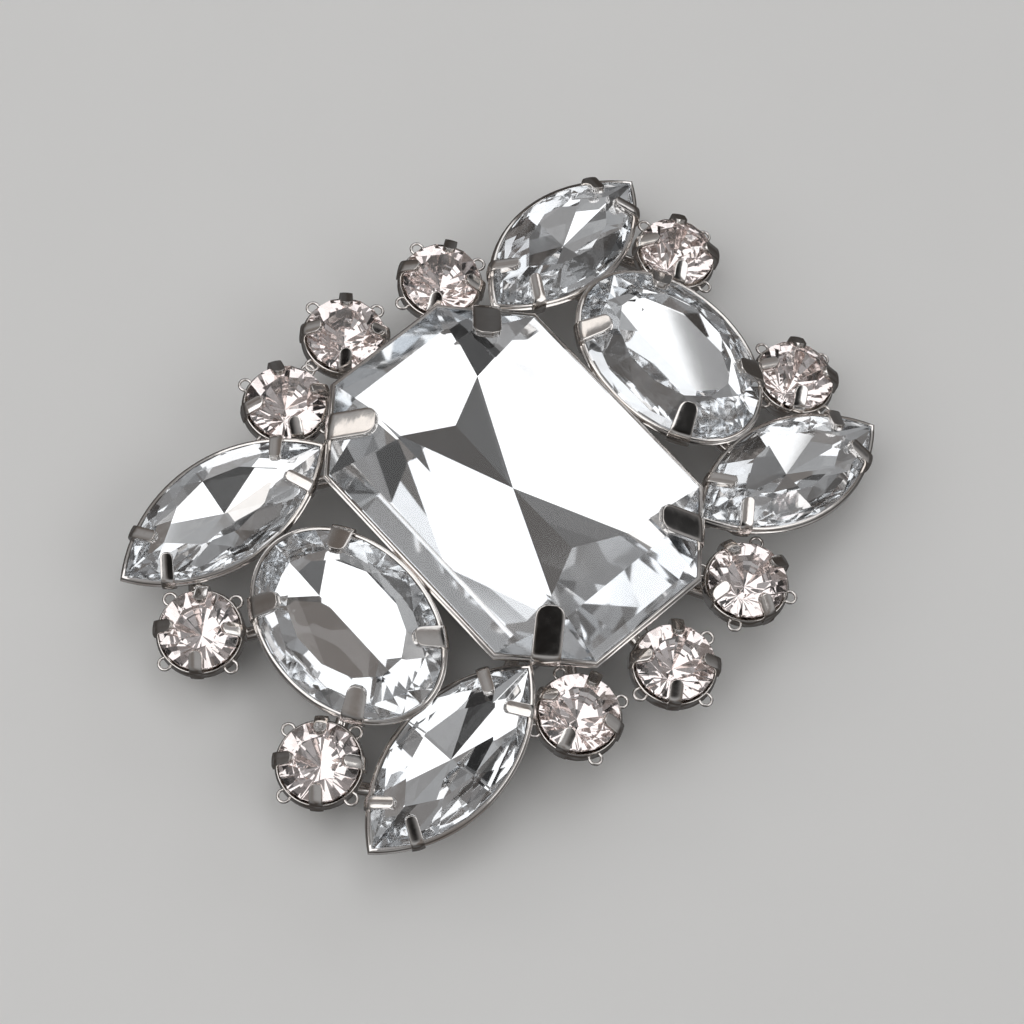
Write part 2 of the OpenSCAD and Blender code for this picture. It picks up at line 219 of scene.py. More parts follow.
class BuckleSettingSizes(bpy.types.PropertyGroup):
    """Sizes of the soldered metal and of the clip."""

    gap: FloatProperty(
        name="Clearance", description="Clearance between a stone and the metal round it",
        default=0.06 * MM, unit="LENGTH")
    claw_t: FloatProperty(
        name="Claw Thickness", description="Thickness of the claws",
        default=0.45 * MM, unit="LENGTH")
    large_claw_w: FloatProperty(
        name="Large Claw Width", description="Width of a claw of the large stone",
        default=1.9 * MM, unit="LENGTH")
    oval_claw_w: FloatProperty(
        name="Oval Claw Width", description="Width of a claw of an oval stone",
        default=1.7 * MM, unit="LENGTH")
    pointed_claw_w: FloatProperty(
        name="Pointed Claw Width", description="Width of a claw of a pointed stone",
        default=0.9 * MM, unit="LENGTH")
    round_claw_w: FloatProperty(
        name="Round Claw Width", description="Width of a claw of a round stone",
        default=0.85 * MM, unit="LENGTH")
    plate_t: FloatProperty(
        name="Plate Thickness", description="Thickness of the plates under the stones",
        default=0.8 * MM, unit="LENGTH")
    wire_d: FloatProperty(
        name="Wire Diameter", description="Diameter of the wires that join the settings",
        default=0.9 * MM, unit="LENGTH")
    clip_w: FloatProperty(
        name="Clip Width", description="Width of the clip strip",
        default=CLIP_BOX[1].x - CLIP_BOX[0].x, unit="LENGTH")
    clip_l: FloatProperty(
        name="Clip Length", description="Length of the clip",
        default=CLIP_BOX[1].y - CLIP_BOX[0].y, unit="LENGTH")
    clip_t: FloatProperty(
        name="Clip Thickness", description="Thickness of the clip strip",
        default=0.8 * MM, unit="LENGTH")
    clip_h: FloatProperty(
        name="Clip Height", description="Height of the folded clip",
        default=CLIP_BOX[1].z - CLIP_BOX[0].z, unit="LENGTH")


class BuckleFinish(bpy.types.PropertyGroup):
    """Colours and finishes."""

    plating: FloatVectorProperty(
        name="Plating", description="Colour of the bright plating",
        default=(0.86, 0.825, 0.795), subtype="COLOR", min=0, max=1)
    plating_roughness: FloatProperty(
        name="Plating Roughness", description="Roughness of the bright plating",
        default=0.09, min=0, max=1, subtype="FACTOR")
    clip_steel: FloatVectorProperty(
        name="Clip Steel", description="Colour of the spring strip",
        default=(0.62, 0.62, 0.63), subtype="COLOR", min=0, max=1)
    clear_crystal: FloatVectorProperty(
        name="Clear Crystal", description="Tint of the large, oval and pointed stones",
        default=(0.99, 0.995, 1.0), subtype="COLOR", min=0, max=1)
    warm_crystal: FloatVectorProperty(
        name="Warm Crystal", description="Tint of the round stones",
        default=(1.0, 0.972, 0.966), subtype="COLOR", min=0, max=1)
    clear_foil: FloatVectorProperty(
        name="Clear Foil", description="Colour of the mirror coat behind the clear stones",
        default=(0.98, 0.99, 1.0), subtype="COLOR", min=0, max=1)
    warm_foil: FloatVectorProperty(
        name="Warm Foil", description="Colour of the mirror coat behind the round stones",
        default=(1.0, 0.97, 0.965), subtype="COLOR", min=0, max=1)
    foil_roughness: FloatProperty(
        name="Foil Roughness", description="Roughness of the mirror coat",
        default=0.035, min=0, max=1, subtype="FACTOR")
    crystal_ior: FloatProperty(
        name="Crystal IOR", description="Index of refraction of the stones",
        default=1.5, min=1, max=2)


class BuckleStudio(bpy.types.PropertyGroup):
    """Floor, light and camera."""

    floor_colour: FloatVectorProperty(
        name="Floor", description="Colour of the pale floor",
        default=(0.86, 0.86, 0.85), subtype="COLOR", min=0, max=1)
    room_colour: FloatVectorProperty(
        name="Room", description="Dim light of the room between the softboxes",
        default=(0.36, 0.362, 0.366), subtype="COLOR", min=0, max=1)
    warm_corner: FloatVectorProperty(
        name="Warm Corners", description="Light of the room where it is warmer and darker",
        default=(0.17, 0.15, 0.137), subtype="COLOR", min=0, max=1)
    floor_light: FloatProperty(
        name="Floor Light", description="Power of the light that only lifts the floor",
        default=0.6, unit="POWER")
    light_distance: FloatProperty(
        name="Light Distance", description="Distance of the softboxes from the buckle",
        default=0.6, unit="LENGTH")
    camera_azimuth: FloatProperty(
        name="Camera Azimuth", description="Angle of the camera round Z, from the -Y side",
        default=math.radians(-57.07), subtype="ANGLE")
    camera_elevation: FloatProperty(
        name="Camera Elevation", description="Angle of the camera above the floor",
        default=math.radians(65.44), subtype="ANGLE")
    camera_roll: FloatProperty(
        name="Camera Roll", description="Turn of the picture about the line of sight",
        default=math.radians(15.98), subtype="ANGLE")
    camera_distance: FloatProperty(
        name="Camera Distance", description="Distance from the camera to the buckle",
        default=0.2082, unit="LENGTH")
    camera_target: FloatVectorProperty(
        name="Camera Target", description="Point aimed at, from the middle of the edge plane",
        default=(-1.6 * MM, -1.47 * MM, 0), subtype="TRANSLATION", unit="LENGTH")
    camera_lens: FloatProperty(
        name="Lens", description="Focal length for a sensor 36 mm wide",
        default=113.4, subtype="DISTANCE_CAMERA")


# Mesh helpers.


def add_piece(name, bm, material, cad_node=None, smooth_angle=40):
    """Makes the finished mesh an object that rides on the part."""
    bmesh.ops.recalc_face_normals(bm, faces=bm.faces[:])
    mesh = bpy.data.meshes.new(name)
    bm.to_mesh(mesh)
    bm.free()
    mesh.shade_smooth()
    mesh.set_sharp_from_angle(angle=math.radians(smooth_angle))
    mesh.materials.append(material)
    piece = bpy.data.objects.new(name, mesh)
    bpy.context.scene.collection.objects.link(piece)
    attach(piece, "root")
    if cad_node:
        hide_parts(cad_node)
    return piece


def join(bm, part, place):
    """Puts a finished bmesh part at its place and adds it to bm."""
    bmesh.ops.transform(part, matrix=place, verts=part.verts[:])
    scratch = bpy.data.meshes.new("scratch")
    part.to_mesh(scratch)
    part.free()
    bm.from_mesh(scratch)
    bpy.data.meshes.remove(scratch)


def new_verts(result):
    """The vertices among what an extrusion has made."""
    return [item for item in result["geom"] if isinstance(item, bmesh.types.BMVert)]


def by_angle(verts):
    """The vertices in their order round Z."""
    return sorted(verts, key=lambda v: math.atan2(v.co.y, v.co.x))


def round_edges(bm, width, angle=35, segments=2):
    """Bevels every edge that is sharper than the angle, in degrees."""
    bmesh.ops.recalc_face_normals(bm, faces=bm.faces[:])
    sharp = [e for e in bm.edges
             if e.is_manifold and e.calc_face_angle() > math.radians(angle)]
    bmesh.ops.bevel(bm, geom=sharp, offset=width, segments=segments, profile=0.5,
                    affect="EDGES", material=-1, clamp_overlap=True)


def rounded_path(corners, radius, steps=5):
    """A polyline through the corners, each inner one rounded off by the radius, or by half
    of its shorter side where that is less."""
    points = [Vector(corners[0])]
    for before, corner, after in zip(corners, corners[1:], corners[2:]):
        before, corner, after = Vector(before), Vector(corner), Vector(after)
        reach = min(radius, (before - corner).length / 2, (after - corner).length / 2)
        start = corner + (before - corner).normalized() * reach
        end = corner + (after - corner).normalized() * reach
        for i in range(steps + 1):
            t = i / steps
            points.append(start * (1 - t) ** 2 + corner * 2 * t * (1 - t) + end * t * t)
    points.append(Vector(corners[-1]))
    return points


def along(points, share):
    """The point at this share of a polyline's length, and the direction there."""
    lengths = [(b - a).length for a, b in zip(points, points[1:])]
    left = share * sum(lengths)
    for a, b, length in zip(points, points[1:], lengths):
        if left <= length or b is points[-1]:
            direction = (b - a).normalized()
            return a + direction * min(left, length), direction
        left -= length


# Above 1 it crowds the cross sections of a strip toward its tip.
TIP_CROWDING = 1.35

# The last cross section keeps this share of the half width as its distance from the tip,
# so that no face closes to a point.
LEAST_LEFT = 0.03

# The edges of plates and the ends of wires are rounded by this share of their thickness.
ROUNDING = 0.2


def bent_strip(corners, width, thickness, bend, segments, square=0, narrow=0.0, dome=0.0,
               edge=0.1 * MM):
    """A strip whose outer face follows the corners in the XZ plane, with its width along
    Y. The wall lies to the left of the path. Square is 0 for a cut end, 2 for a half
    round tip and more for a squarer one. Narrow is the share of the width lost there,
    dome how far the sides fall behind the middle, and edge the rounding of the edges."""
    path = rounded_path([(x, 0, z) for x, z in corners], bend)
    length = sum((b - a).length for a, b in zip(path, path[1:]))
    bm = bmesh.new()
    bmesh.ops.create_grid(bm, x_segments=segments, y_segments=8, size=0.5)
    wall = bmesh.ops.extrude_face_region(bm, geom=bm.faces[:])
    bmesh.ops.translate(bm, vec=(0, 0, 1), verts=new_verts(wall))
    # The grid runs from -0.5 to 0.5, so share is 0 at the foot and 1 at the tip, and across
    # is -1 and 1 at the sides.
    for vert in bm.verts:
        share = 1 - (0.5 - vert.co.x) ** TIP_CROWDING
        across = 2 * vert.co.y
        depth = vert.co.z
        point, direction = along(path, share)
        half = width / 2 * (1 - narrow * share ** 2)
        if square:
            left = max((1 - share) * length / half, LEAST_LEFT)
            if left < 1:
                half *= (1 - (1 - left) ** square) ** (1 / square)
        left_side = Vector((-direction.z, 0, direction.x))
        fall = dome * (across * half / (width / 2)) ** 2
        vert.co = point + left_side * (depth * thickness + fall)
        vert.co.y = across * half
    round_edges(bm, edge, angle=50, segments=3)
    return bm


def swept_ring(profile, outline, steps):
    """A closed ring: each (distance, height) of the profile follows the outline. The loops
    lie a little apart until they take their places, so that bridging pairs them well."""
    apart = Vector((0, 0, 0.1 * MM))
    bm = bmesh.new()
    first = bmesh.ops.create_circle(bm, cap_ends=False, segments=steps, radius=1)["verts"]
    loops = [by_angle(first)]
    for _ in profile[1:]:
        last = set(loops[-1])
        edges = [e for e in bm.edges if all(v in last for v in e.verts)]
        moved = by_angle(new_verts(bmesh.ops.extrude_edge_only(bm, edges=edges)))
        bmesh.ops.translate(bm, vec=apart, verts=moved)
        loops.append(moved)
    ends = [e for e in bm.edges if e.is_boundary]
    bmesh.ops.bridge_loops(bm, edges=ends)
    for (distance, height), loop in zip(profile, loops):
        for i, vert in enumerate(loop):
            x, y = outline(distance, i / steps)
            vert.co = (x, y, height)
    return bm


def turned(profile, steps=48):
    """A solid turned about Z from a profile of (radius, height) that starts and ends on
    the axis."""
    bm = bmesh.new()
    verts = [bm.verts.new((r, 0, z)) for r, z in profile]
    edges = [bm.edges.new(pair) for pair in zip(verts, verts[1:])]
    bmesh.ops.spin(bm, geom=verts + edges, cent=(0, 0, 0), axis=(0, 0, 1),
                   angle=math.tau, steps=steps, use_merge=True, use_duplicate=False)
    bmesh.ops.remove_doubles(bm, verts=bm.verts[:], dist=1e-7)
    bmesh.ops.recalc_face_normals(bm, faces=bm.faces[:])
    return bm


def plate(outline, inset, steps, thickness):
    """A flat plate with rounded edges, set in from the outline, its underside at z = 0."""
    bm = bmesh.new()
    ring = bmesh.ops.create_circle(bm, cap_ends=True, segments=steps, radius=1)["verts"]
    for i, vert in enumerate(by_angle(ring)):
        x, y = outline(-inset, i / steps)
        vert.co = (x, y, 0)
    top = bmesh.ops.extrude_face_region(bm, geom=bm.faces[:])
    bmesh.ops.translate(bm, vec=(0, 0, thickness), verts=new_verts(top))
    round_edges(bm, ROUNDING * thickness)
    return bm


def straight_wire(start, end, diameter):
    """A round wire along Z, and the place that lays it between the two points."""
    bm = bmesh.new()
    bmesh.ops.create_cone(bm, cap_ends=True, segments=20, radius1=diameter / 2,
                          radius2=diameter / 2, depth=(end - start).length)
    round_edges(bm, ROUNDING * diameter)
    turn = (end - start).to_track_quat("Z", "Y").to_matrix().to_4x4()
    return bm, Matrix.Translation((start + end) / 2) @ turn


def wire_loop(radius, thickness):
    """A small closed loop of round wire, flat in XY."""
    bm = bmesh.new()
    section = bmesh.ops.create_circle(bm, cap_ends=False, segments=10, radius=thickness / 2)
    bmesh.ops.rotate(bm, cent=(0, 0, 0), matrix=Matrix.Rotation(math.pi / 2, 3, "X"),
                     verts=section["verts"])
    bmesh.ops.translate(bm, vec=(radius, 0, 0), verts=section["verts"])
    bmesh.ops.spin(bm, geom=bm.verts[:] + bm.edges[:], cent=(0, 0, 0), axis=(0, 0, 1),
                   angle=math.tau, steps=24, use_merge=True, use_duplicate=False)
    return bm


# Outlines and places.


def octagon_outline(half_w, half_h, corner):
    """The large stone's outline, moved outward by a distance, as a function."""

    def point(distance, share):
        w, h = half_w + distance, half_h + distance
        c = corner + 2 * distance - distance * math.sqrt(2)
        corners = ((-w, c - h), (c - w, -h), (w - c, -h), (w, c - h),
                   (w, h - c), (w - c, h), (c - w, h), (-w, h - c))
        step = share * len(corners)
        i = int(step) % len(corners)
        a, b = Vector(corners[i]), Vector(corners[(i + 1) % len(corners)])
        return a.lerp(b, step - int(step))

    return point


def ellipse_outline(half_w, half_h):
    """The outline of an oval stone, in the same form."""

    def point(distance, share):
        angle = math.tau * share - math.pi
        return (half_w + distance) * math.cos(angle), (half_h + distance) * math.sin(angle)

    return point


def arc_radius(half_l, half_w):
    """Radius of the two arcs that bound a pointed outline."""
    return (half_l ** 2 + half_w ** 2) / (2 * half_w)


def pointed_outline(half_l, half_w):
    """Two arcs that meet in a point at each end."""
    radius = arc_radius(half_l, half_w)
    shift = radius - half_w

    def point(distance, share):
        r = radius + distance
        half = math.acos(shift / r)
        side = -1 if share < 0.5 else 1
        t = -half + 4 * half * (share % 0.5)
        return -side * r * math.sin(t), side * (r * math.cos(t) - shift)

    return point


def place_oval(places, side):
    """Place of the right oval setting for side 1, and of the left one for side -1."""
    up = places.right_up if side > 0 else -places.left_oval_down
    tilt = places.right_oval_tilt if side > 0 else -places.wing_tilt
    spot = Vector((side * places.oval_reach, up, places.girdle_z - places.oval_drop))
    return Matrix.Translation(spot) @ Matrix.Rotation(tilt, 4, "Y")


def place_pointed(places, quarter):
    """Place of the pointed setting of one quarter. The right-back one also leans outward."""
    qx, qy = QUARTERS[quarter]
    up = places.right_up if qx > 0 else 0
    roll = -places.back_roll if quarter == 0 else 0
    spot = Vector((qx * places.pointed_reach_x, qy * places.pointed_reach_y + up,
                   places.girdle_z - places.pointed_drop))
    return (Matrix.Translation(spot)
            @ Matrix.Rotation(qx * qy * places.pointed_splay, 4, "Z")
            @ Matrix.Rotation(qx * places.wing_tilt, 4, "Y")
            @ Matrix.Rotation(roll, 4, "X"))


def place_round(places, index):
    """Place of one round setting. The end ones stand a little off the mirrored places and
    are turned differently, because such settings are joined by hand."""
    end_x, end_y, end_mid = places.end_side_x, places.end_side_y, places.end_reach
    wing_x, wing_y, up = places.wing_x, places.wing_y, places.right_up
    end_drop, wing_drop, tilt = places.end_drop, places.wing_drop, places.wing_tilt
    x, y, drop, slope, turn = (
        (end_x - 0.4 * MM, end_y, end_drop, 0, 35),
        (-0.9 * MM, end_mid - 0.1 * MM, end_drop, 0, 48),
        (-end_x, end_y - 0.3 * MM, end_drop, 0, 65),
        (wing_x, wing_y + up, wing_drop, tilt, 45),
        (wing_x - 0.2 * MM, up - wing_y, wing_drop, tilt, 45),
        (end_x + 0.4 * MM, -end_y, end_drop, 0, 77),
        (0, -end_mid, end_drop, 0, 45),
        (0.1 * MM - end_x, 0.4 * MM - end_y, end_drop, 0, 24),
        (-wing_x, 0.4 * MM - wing_y, wing_drop, -tilt, 45),
        (-wing_x, wing_y, wing_drop, -tilt, 45),
    )[index]
    return (Matrix.Translation((x, y, places.girdle_z - drop))
            @ Matrix.Rotation(slope, 4, "Y")
            @ Matrix.Rotation(math.radians(turn), 4, "Z"))


def claw_strip(sizes, band, width, run, slope, foot_in, foot_down, narrow=0.0):
    """One claw. The stone's edge is at x = 0, and the stone lies toward -x. From its foot
    under the stone it slants out to the knee, stands upright to the shoulder above the
    edge, and runs in over the crown at the slope."""
    lean = math.tan(math.radians(slope))
    t, gap = sizes.claw_t, sizes.gap
    outer = (gap + t) / math.cos(math.radians(slope))
    foot_x = 1.6 * t - foot_in
    knee_z = -3 * band
    shoulder_z = band - (gap + t) * lean + outer
    tip_z = band + run * lean + outer
    corners = ((foot_x, -foot_down), (gap + t, knee_z), (gap + t, shoulder_z), (-run, tip_z))
    return bent_strip(corners, width, t, bend=0.5 * MM, segments=32, square=2.5,
                      narrow=narrow, dome=0.05 * MM, edge=0.19 * MM)


def rim_profile(gap, band):
    """Two beads with a groove between them, as (distance, height) from the stone's edge."""
    return [(gap + d * MM, band + z * MM) for d, z in (
        (0.00, -0.06), (0.10, -0.03), (0.20, -0.08), (0.24, -0.17), (0.16, -0.26),
        (0.20, -0.31), (0.29, -0.37), (0.30, -0.46), (0.20, -0.53), (0.00, -0.50))]


def add_rim_and_plate(bm, place, stones, sizes, outline, base, inset, rim_steps,
                      plate_steps):
    """Adds the rim round a stone's edge, and the plate, whose underside lies at the depth
    of the base below that edge."""
    rim = swept_ring(rim_profile(sizes.gap, stones.band), outline, rim_steps)
    join(bm, rim, place)
    bottom = plate(outline, inset, plate_steps, sizes.plate_t)
    join(bm, bottom, place @ Matrix.Translation((0, 0, -base)))


# Materials.


def new_material(name):
    """A new node material, its tree and its shader."""
    material = bpy.data.materials.new(name)
    material.use_nodes = True
    tree = material.node_tree
    return material, tree, tree.nodes["Principled BSDF"]


def object_coordinates(tree, scale=(1, 1, 1)):
    """Object coordinates, stretched by the scale."""
    coords = tree.nodes.new("ShaderNodeTexCoord")
    mapping = tree.nodes.new("ShaderNodeMapping")
    mapping.inputs["Scale"].default_value = scale
    tree.links.new(coords.outputs["Object"], mapping.inputs["Vector"])
    return mapping.outputs["Vector"]


def noise(tree, vector, scale, detail):
    """The value of a noise texture."""
    node = tree.nodes.new("ShaderNodeTexNoise")
    node.inputs["Scale"].default_value = scale
    node.inputs["Detail"].default_value = detail
    tree.links.new(vector, node.inputs["Vector"])
    return node.outputs["Fac"]


def span(tree, value, low, high, low_in=0.3, high_in=0.7):
    """Maps a noise value to a range."""
    node = tree.nodes.new("ShaderNodeMapRange")
    node.inputs["From Min"].default_value = low_in
    node.inputs["From Max"].default_value = high_in
    node.inputs["To Min"].default_value = low
    node.inputs["To Max"].default_value = high
    tree.links.new(value, node.inputs["Value"])
    return node.outputs["Result"]


def darker(colour, share):
    """The colour with this share of its light."""
    return tuple(share * value for value in colour)


def blend_colours(tree, factor, dark, light):
    """A colour socket between the two colours."""
    node = tree.nodes.new("ShaderNodeMix")
    node.data_type = "RGBA"
    node.inputs["A"].default_value = (*dark, 1)
    node.inputs["B"].default_value = (*light, 1)
    tree.links.new(factor, node.inputs["Factor"])
    return node.outputs["Result"]


def uneven_colour(tree, shader, vector, scale, detail, dark, light):
    """Lets the base colour wander between the two colours."""
    cloud = span(tree, noise(tree, vector, scale, detail), low=0, high=1)
    tree.links.new(blend_colours(tree, cloud, dark, light), shader.inputs["Base Color"])


def bump(tree, shader, height, strength, distance):
    """Raises the surface by the height, at most by the distance."""
    node = tree.nodes.new("ShaderNodeBump")
    node.inputs["Strength"].default_value = strength
    node.inputs["Distance"].default_value = distance
    tree.links.new(height, node.inputs["Height"])
    tree.links.new(node.outputs["Normal"], shader.inputs["Normal"])


def bright_plating(finish):
    """Polished silver-toned plating with faint ripples and fine wear."""
    material, tree, shader = new_material("bright_plating")
    vector = object_coordinates(tree)
    colour = tuple(finish.plating)
    uneven_colour(tree, shader, vector, scale=900, detail=5,
                  dark=darker(colour, 0.93), light=colour)
    shader.inputs["Metallic"].default_value = 1
    rough = finish.plating_roughness
    patches = noise(tree, vector, scale=1700, detail=4)
    tree.links.new(span(tree, patches, low=0.6 * rough, high=1.7 * rough),
                   shader.inputs["Roughness"])
    ripples = noise(tree, vector, scale=1100, detail=2)
    bump(tree, shader, ripples, strength=0.25, distance=0.03 * MM)
    return material


def brushed_steel(finish):
    """Plain nickel-plated strip with fine lines along Y."""
    material, tree, shader = new_material("brushed_steel")
    vector = object_coordinates(tree, scale=(1, 0.03, 1))
    colour = tuple(finish.clip_steel)
    lines = noise(tree, vector, scale=9000, detail=4)
    tree.links.new(blend_colours(tree, span(tree, lines, low=0, high=1),
                                 darker(colour, 0.86), colour),
                   shader.inputs["Base Color"])
    shader.inputs["Metallic"].default_value = 1
    tree.links.new(span(tree, lines, low=0.22, high=0.38), shader.inputs["Roughness"])
    bump(tree, shader, lines, strength=0.2, distance=0.02 * MM)
    return material


def crystal(name, tint, ior):
    """Clear cut crystal with a barely uneven tint."""
    material, tree, shader = new_material(name)
    vector = object_coordinates(tree)
    uneven_colour(tree, shader, vector, scale=260, detail=2,
                  dark=darker(tint, 0.985), light=tuple(tint))
    shader.inputs["Roughness"].default_value = 0
    shader.inputs["IOR"].default_value = ior
    shader.inputs["Transmission Weight"].default_value = 1
    return material


def mirror_foil(name, tint, roughness):
    """The mirror coat on the back of a stone."""
    material, tree, shader = new_material(name)
    vector = object_coordinates(tree)
    uneven_colour(tree, shader, vector, scale=1500, detail=3,
                  dark=darker(tint, 0.93), light=darker(tint, 0.97))
    shader.inputs["Metallic"].default_value = 1
    shader.inputs["Roughness"].default_value = roughness
    return material


def pale_floor(studio):
    """Matt and barely uneven."""
    material, tree, shader = new_material("pale_floor")
    vector = object_coordinates(tree)
    colour = tuple(studio.floor_colour)
    uneven_colour(tree, shader, vector, scale=60, detail=3,
                  dark=darker(colour, 0.985), light=colour)
    shader.inputs["Roughness"].default_value = 0.8
    return material


def dim_room(studio):
    """A world of dim uneven light, darker near the floor and behind the flags."""
    world = bpy.data.worlds.new("dim_room")
    world.use_nodes = True
    tree = world.node_tree
    # In a world these coordinates are the direction of view.
    direction = tree.nodes.new("ShaderNodeTexCoord").outputs["Generated"]
    patches = span(tree, noise(tree, direction, scale=2.2, detail=2), low=0, high=1,
                   low_in=0.4, high_in=0.6)
    colour = blend_colours(tree, patches, tuple(studio.warm_corner),
                           tuple(studio.room_colour))
    tree.links.new(colour, tree.nodes["Background"].inputs["Color"])
    height = tree.nodes.new("ShaderNodeSeparateXYZ")
    tree.links.new(direction, height.inputs["Vector"])
    strength = span(tree, height.outputs["Z"], low=0.3, high=1, low_in=0, high_in=0.35)
    for turn, rise, radius, share in FLAGS:
        toward = tree.nodes.new("ShaderNodeVectorMath")
        toward.operation = "DOT_PRODUCT"
        toward.inputs[1].default_value = aim_along(turn, rise)
        tree.links.new(direction, toward.inputs[0])
        shade = span(tree, toward.outputs["Value"], low=1, high=share,
                     low_in=math.cos(math.radians(FLAG_EDGE * radius)),
                     high_in=math.cos(math.radians(radius / FLAG_EDGE)))
        product = tree.nodes.new("ShaderNodeMath")
        product.operation = "MULTIPLY"
        tree.links.new(strength, product.inputs[0])
        tree.links.new(shade, product.inputs[1])
        strength = product.outputs["Value"]
    tree.links.new(strength, tree.nodes["Background"].inputs["Strength"])
    return world


def aim_along(turn, rise):
    """The direction at these angles, in degrees, round Z and above the floor."""
    turn, rise = math.radians(turn), math.radians(rise)
    return Vector((math.cos(turn) * math.cos(rise), math.sin(turn) * math.cos(rise),
                   math.sin(rise)))


# Operators.


def add_setting(context, name, bm):
    """Makes the mesh a plated piece of the setting. All such pieces share one material."""
    metal = bpy.data.materials.get("bright_plating")
    if metal is None:
        metal = bright_plating(context.scene.buckle_finish)
    piece = add_piece(name, bm, metal, "setting_frame")


# A face whose normal has less than this share along the axis of its stone lies at the back.
BACK_FACING = -0.08


def dress_stone(node, axis, clear, foil):
    """Gives a stone its crystal, and the mirror coat on the faces of its back."""
    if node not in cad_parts:
        raise RuntimeError(f"there is no stone named {node}")
    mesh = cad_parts[node].data
    mesh.materials.clear()
    mesh.materials.append(clear)
    mesh.materials.append(foil)
    for face in mesh.polygons:
        face.material_index = 1 if face.normal.dot(axis) < BACK_FACING else 0
    if not any(face.material_index for face in mesh.polygons):
        raise RuntimeError(f"no face of {node} lies at its back")


class BUCKLE_OT_cut_stones(bpy.types.Operator):
    """Finish the seventeen cut stones as clear crystal with a mirror coat behind"""

    bl_idname = "buckle.cut_stones"
    bl_label = "Cut Stones"

    def execute(self, context):
        places, finish = context.scene.buckle_places, context.scene.buckle_finish
        clear = crystal("clear_crystal", finish.clear_crystal, finish.crystal_ior)
        warm = crystal("warm_crystal", finish.warm_crystal, finish.crystal_ior)
        cool_foil = mirror_foil("mirror_foil", finish.clear_foil, finish.foil_roughness)
        warm_foil = mirror_foil("warm_mirror_foil", finish.warm_foil, finish.foil_roughness)
        up = Vector((0, 0, 1))
        dress_stone("large_stone", up, clear, cool_foil)
        for name, side in (("oval_stone_1", 1), ("oval_stone_2", -1)):
            dress_stone(name, place_oval(places, side).to_3x3() @ up, clear, cool_foil)
        for quarter in range(4):
            dress_stone(f"pointed_stone_{quarter + 1}",
                        place_pointed(places, quarter).to_3x3() @ up, clear, cool_foil)
        for index in range(ROUND_COUNT):
            dress_stone(f"round_stone_{index + 1}",
                        place_round(places, index).to_3x3() @ up, warm, warm_foil)
        return {"FINISHED"}


class BUCKLE_OT_large_setting(bpy.types.Operator):
    """Model the rim, the plate and the four claws of the large stone"""

    bl_idname = "buckle.large_setting"
    bl_label = "Large Setting"

    def execute(self, context):
        stones, sizes = context.scene.buckle_stones, context.scene.buckle_setting
        half_w, half_h, cut = stones.large_half_w, stones.large_half_h, stones.large_corner
        outline = octagon_outline(half_w, half_h, cut)
        level = Matrix.Translation((0, 0, context.scene.buckle_places.girdle_z))
        bm = bmesh.new()
        add_rim_and_plate(bm, level, stones, sizes, outline, stones.large_base,
                          inset=2 * MM, rim_steps=8, plate_steps=8)
        for qx, qy in QUARTERS:
            claw = claw_strip(sizes, stones.band, sizes.large_claw_w, run=2.6 * MM,
                              slope=32, foot_in=2.6 * MM,
                              foot_down=stones.large_base - sizes.plate_t / 2)
            spot = Vector((qx * (half_w - cut / 2), qy * (half_h - cut / 2), 0))
            join(bm, claw, level @ Matrix.Translation(spot)
                 @ Matrix.Rotation(math.atan2(qy, qx), 4, "Z"))
        add_setting(context, "large_setting", bm)
        return {"FINISHED"}


class BUCKLE_OT_oval_settings(bpy.types.Operator):
    """Model the rims, plates and claws of the two oval stones"""

    bl_idname = "buckle.oval_settings"
    bl_label = "Oval Settings"

    def execute(self, context):
        stones, sizes = context.scene.buckle_stones, context.scene.buckle_setting
        places = context.scene.buckle_places
        half_w, half_h = stones.oval_half_w, stones.oval_half_h
        outline = ellipse_outline(half_w, half_h)
        # A claw stands at this angle of the outline, square to it.
        at = math.radians(42.3)
        bm = bmesh.new()
        for side in (1, -1):
            place = place_oval(places, side)
            add_rim_and_plate(bm, place, stones, sizes, outline, stones.oval_base,
                              inset=1.7 * MM, rim_steps=96, plate_steps=48)
            for qx, qy in QUARTERS:
                claw = claw_strip(sizes, stones.band, sizes.oval_claw_w, run=1.5 * MM,
                                  slope=34, foot_in=2.2 * MM,
                                  foot_down=stones.oval_base - sizes.plate_t / 2,
                                  narrow=0.3)
                spot = (qx * half_w * math.cos(at), qy * half_h * math.sin(at), 0)
                turn = math.atan2(qy * math.sin(at) / half_h, qx * math.cos(at) / half_w)
                join(bm, claw, place @ Matrix.Translation(spot)
                     @ Matrix.Rotation(turn, 4, "Z"))
        add_setting(context, "oval_settings", bm)
        return {"FINISHED"}


